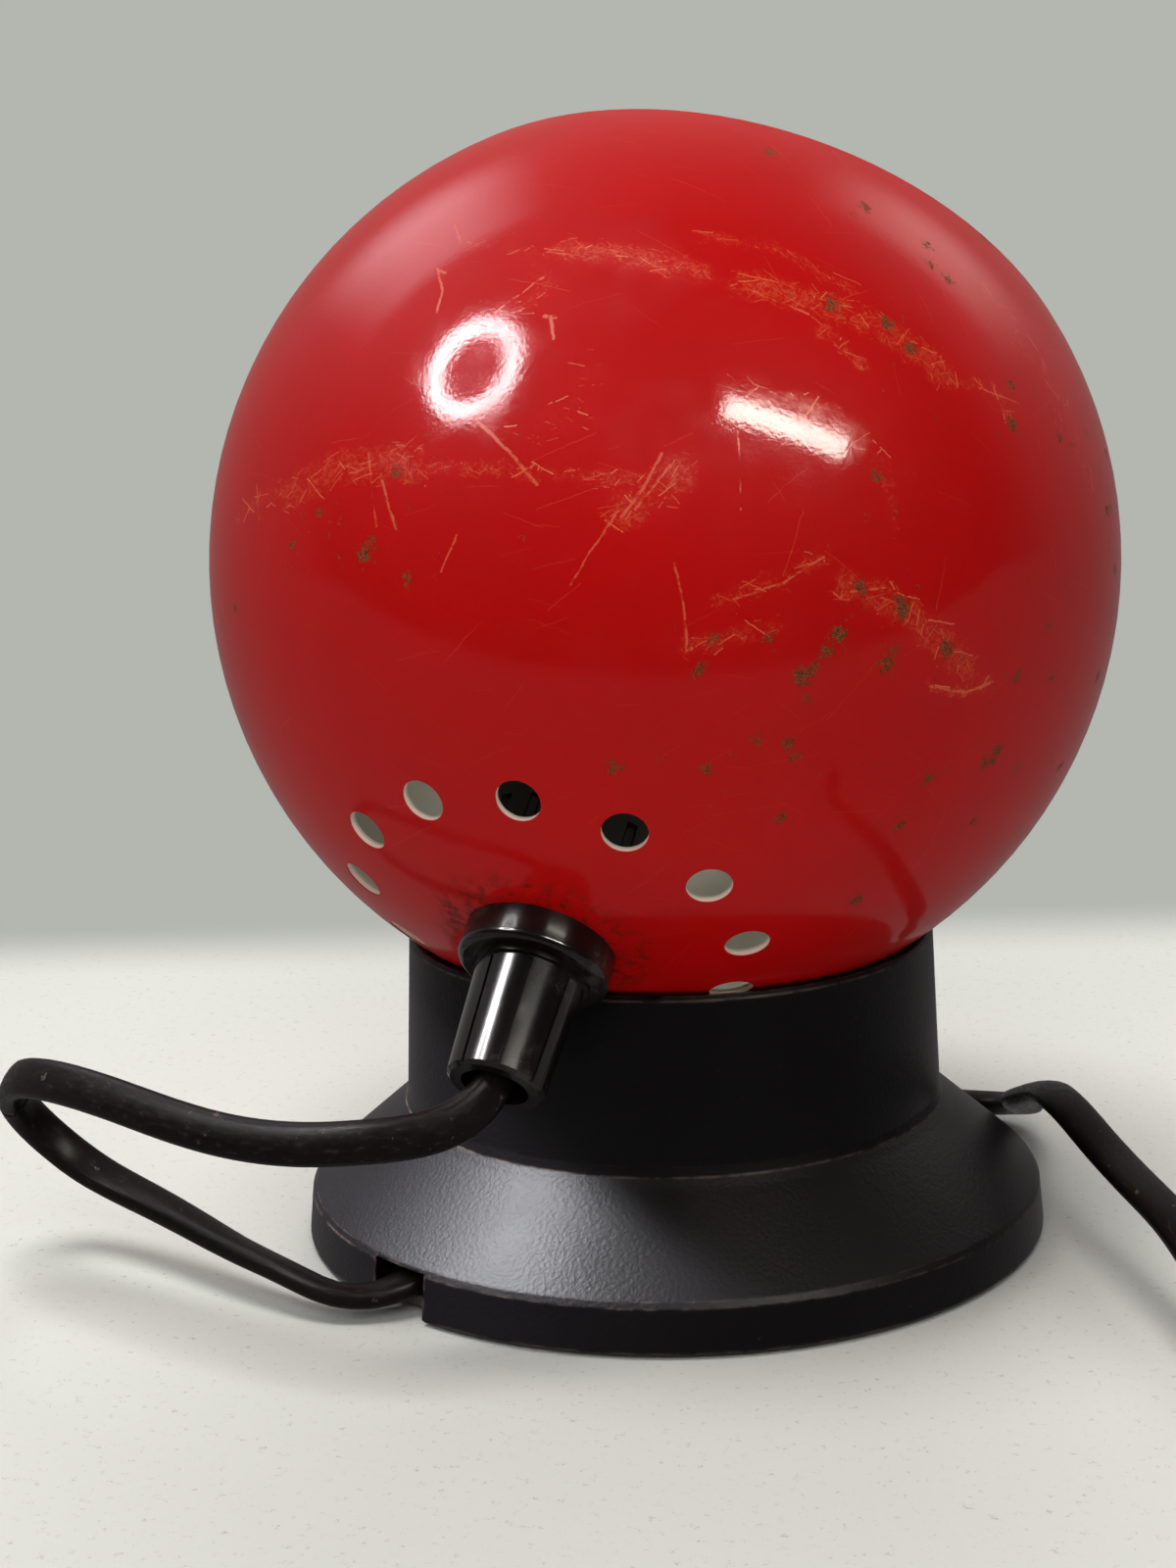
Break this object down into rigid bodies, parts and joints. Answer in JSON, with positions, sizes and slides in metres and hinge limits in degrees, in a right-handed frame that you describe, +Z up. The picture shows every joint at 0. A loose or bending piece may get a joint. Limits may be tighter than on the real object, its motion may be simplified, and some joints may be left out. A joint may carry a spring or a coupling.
{
  "type": "ball table lamp",
  "caption": "Small ball table lamp: an enamelled steel ball shade with vent holes rests tiltable on a magnet in a round weighted base, with a looped flat cord, in-line switch and plug.",
  "frame": {"origin": "centre of the base's underside, on the surface that the lamp stands on", "axes": "+Z up along the base's axis; the lamp is aimed towards -Y and upwards, so its cord grip points towards +Y"},
  "size_m": [0.2581, 0.1617, 0.1499],
  "materials": {
    "red_paint": "gloss stove enamel, scratched and rusted in places",
    "gloss_black": "gloss",
    "bakelite": "polished",
    "porcelain": "unglazed",
    "brass": "plain",
    "steel": "zinc plated",
    "nickel": "nickel plated",
    "opal_glass": "opal",
    "black_glass": "plain",
    "solder": "dull",
    "base_black": "fine spark-eroded texture",
    "ring_plastic": "plain",
    "iron": "as cast",
    "ferrite": "ground",
    "cover_board": "pressed fibre board",
    "pad_rubber": "plain",
    "cord_pvc": "satin vinyl",
    "switch_black": "satin",
    "rocker_grey": "satin",
    "plug_black": "moulded vinyl"
  },
  "bodies": {
    "base": {"base_shell": "base_black", "ballast": "iron", "magnet_pot": "steel", "ring_magnet": "ferrite", "magnet_screw": "steel", "bottom_cover": "cover_board", "cover_screws": "steel", "foot_pads": "pad_rubber", "cord_clamp": "steel", "clamp_screws": "steel", "base_cord": "cord_pvc", "loop_cord_lower": "cord_pvc", "lead_to_switch": "cord_pvc", "lead_to_coil": "cord_pvc", "lead_to_plug": "cord_pvc", "cord_coil": "cord_pvc", "switch_lower": "switch_black", "switch_upper": "switch_black", "switch_screws": "steel", "plug_body": "plug_black", "plug_pins": "nickel"},
    "seat": {"seat_ring": "ring_plastic", "loop_cord_upper": "cord_pvc"},
    "ball": {"ball_shade": "red_paint", "grip_collar": "gloss_black", "cord_grip": "gloss_black", "toothed_washer": "steel", "holder_cap": "bakelite", "holder_skirt": "bakelite", "contact_insert": "porcelain", "screw_shell": "brass", "centre_contact": "brass", "terminal_screws": "brass", "holder_cord": "cord_pvc"},
    "bulb": {"bulb_globe": "opal_glass", "bulb_cap": "nickel", "bulb_insulator": "black_glass", "bulb_contact": "solder"},
    "rocker": {"switch_rocker": "rocker_grey"}
  },
  "joints": [
    {"name": "ball_swivel", "type": "hinge", "parent": "base", "child": "seat", "pos_m": [0, 0, 0.09107], "axis": [0, 0, 1], "range_deg": [-80, 80], "deforming": ["loop_cord_lower"]},
    {"name": "ball_tilt", "type": "hinge", "parent": "seat", "child": "ball", "pos_m": [0, 0, 0.09107], "axis": [1, 0, 0], "range_deg": [0, 40], "deforming": ["loop_cord_upper"]},
    {"name": "bulb_withdraw", "type": "slide", "parent": "ball", "child": "bulb", "axis": [0, -0.7193, 0.6947], "range_m": [0, 0.02]},
    {"name": "switch_rocker_tip", "type": "hinge", "parent": "base", "child": "rocker", "pos_m": [-0.139, 0.065, 0.0134], "axis": [0, -1, 0], "range_deg": [0, 16]}
  ]
}
